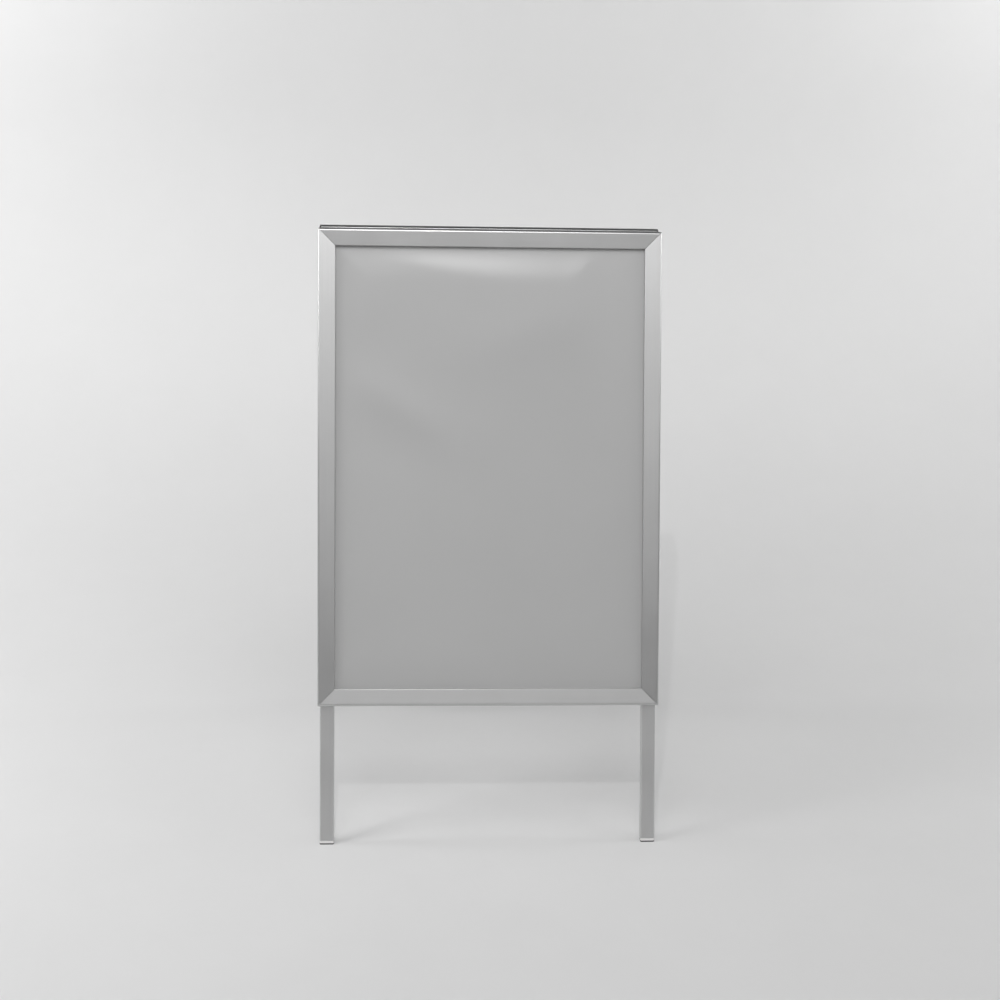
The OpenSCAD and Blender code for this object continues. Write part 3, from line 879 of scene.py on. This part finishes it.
def backdrop(look):
    """A paper sweep: floor, a quarter circle and a wall, the same section all along X. It is clear from
    behind, so that the board can be looked at from all sides."""
    a = np.linspace(0, math.pi / 2, 25)
    y = np.concatenate([[-7.0, -3.0, -1.0], SWEEP_START + SWEEP_R * np.sin(a), [SWEEP_START + SWEEP_R]])
    z = np.concatenate([[0.0, 0.0, 0.0], SWEEP_R * (1 - np.cos(a)), [SWEEP_H]])
    gx, gy = np.meshgrid(np.linspace(-SWEEP_HALF_W, SWEEP_HALF_W, 15), y)
    gz = np.broadcast_to(z[:, None], gx.shape)
    piece = build("backdrop", np.stack([gx, gy, gz], -1) / MM, close_v=False, caps=False)
    if piece.data.polygons[0].normal.z < 0:
        piece.data.flip_normals()
    g = Graph(bpy.data.materials.new("backdrop_paper"))
    where = g.place()
    cloud = g.noise(where, 1.2, 3.0, 0.5)
    mark = g.noise(where, 9.0, 5.0, 0.7)
    tone = look.floor_tone
    colour = g.mix((cloud * 0.6 + mark * 0.4).between(0.3, 0.7), grey(tone * 0.985), grey(tone * 1.01))
    paper = g.node("BsdfPrincipled", None, Base_Color=colour, Roughness=(mark - 0.5) * 0.1 + 0.6)
    from_behind = g.node("NewGeometry", None, out=6)
    clear = g.node("BsdfTransparent", None, grey(1.0))
    piece.data.materials.append(g.done(g.node("MixShader", None, from_behind, paper, clear)))


def room():
    """A world that lights the board in bands by the height of the direction looked in, brighter to the
    sides and dim behind the backdrop, and that is seen as one pale tone."""
    g = Graph(bpy.data.worlds.new("studio"))
    across = g.node("SeparateXYZ", None, g.node("TexCoord", None))
    back, up = across.output("Y"), across.output("Z")
    fade = g.node("MapRange", None, back, 0.0, ROOM_FADE, 1.0, ROOM_BACK)
    strength = (across.do("ABSOLUTE") * ROOM_SIDES + 1.0) * fade
    light = g.node("Background", None, up.ramp(ROOM_BANDS), strength)
    plain = g.node("Background", None, grey(ROOM_SEEN), 1.0)
    seen = g.node("LightPath").output("Is Camera Ray")
    return g.done(g.node("MixShader", None, seen, light, plain), "World")


def place_camera():
    """A camera at eye height in front, looking down a little, turned by yaw, pitch and roll."""
    yaw, pitch, roll = (math.radians(a) for a in CAMERA_TURN)
    forward = Vector((math.sin(yaw) * math.cos(pitch), math.cos(yaw) * math.cos(pitch), -math.sin(pitch)))
    right = Vector((math.cos(yaw), -math.sin(yaw), 0.0))
    down = forward.cross(right)
    side = right * math.cos(roll) + down * math.sin(roll)
    under = down * math.cos(roll) - right * math.sin(roll)
    data = bpy.data.cameras.new("camera")
    data.sensor_width = CAMERA_SENSOR
    data.lens = CAMERA_FOCAL * data.sensor_width
    eye = bpy.data.objects.new("camera", data)
    turn = Matrix((side, -under, -forward)).transposed().to_4x4()
    eye.matrix_world = Matrix.Translation(CAMERA_AT) @ turn
    bpy.context.scene.collection.objects.link(eye)
    bpy.context.scene.camera = eye


class BOARD_OT_stage(bpy.types.Operator):
    """Builds the floor, lights and camera"""

    bl_idname = "board.stage"
    bl_label = "Stage"

    def execute(self, context):
        backdrop(context.scene.board_look)
        for lamp in LAMPS:
            area_light(*lamp)
        context.scene.world = room()
        context.scene.view_settings.view_transform = "Standard"
        place_camera()
        return {"FINISHED"}


class BOARD_PT_panel(bpy.types.Panel):
    """Sizes, tones and the pieces in order"""

    bl_idname = "BOARD_PT_panel"
    bl_label = "Sandwich board"
    bl_space_type = "VIEW_3D"
    bl_region_type = "UI"
    bl_category = "Board"

    def draw(self, context):
        for group in (context.scene.board_sizes, context.scene.board_look):
            box = self.layout.box()
            for key in group.__annotations__:
                box.prop(group, key)
        for step in STEPS:
            self.layout.operator(step.bl_idname)


GROUPS = (BoardSizes, BoardLook)
STEPS = (BOARD_OT_covers, BOARD_OT_rails, BOARD_OT_panels, BOARD_OT_legs, BOARD_OT_feet, BOARD_OT_hinges,
         BOARD_OT_stays, BOARD_OT_stage)


def register():
    """Makes the settings, operators and panel known."""
    for c in (*GROUPS, *STEPS, BOARD_PT_panel):
        bpy.utils.register_class(c)
    bpy.types.Scene.board_sizes = bpy.props.PointerProperty(type=BoardSizes)
    bpy.types.Scene.board_look = bpy.props.PointerProperty(type=BoardLook)


def unregister():
    """Takes them away again."""
    del bpy.types.Scene.board_look
    del bpy.types.Scene.board_sizes
    for c in reversed((*GROUPS, *STEPS, BOARD_PT_panel)):
        bpy.utils.unregister_class(c)


def main():
    """Builds every piece and the stage."""
    register()
    make_materials(bpy.context.scene.board_look)
    for step in STEPS:
        group, name = step.bl_idname.split(".")
        getattr(getattr(bpy.ops, group), name)()
    bpy.context.view_layer.update()


if __name__ == "__main__":
    main()
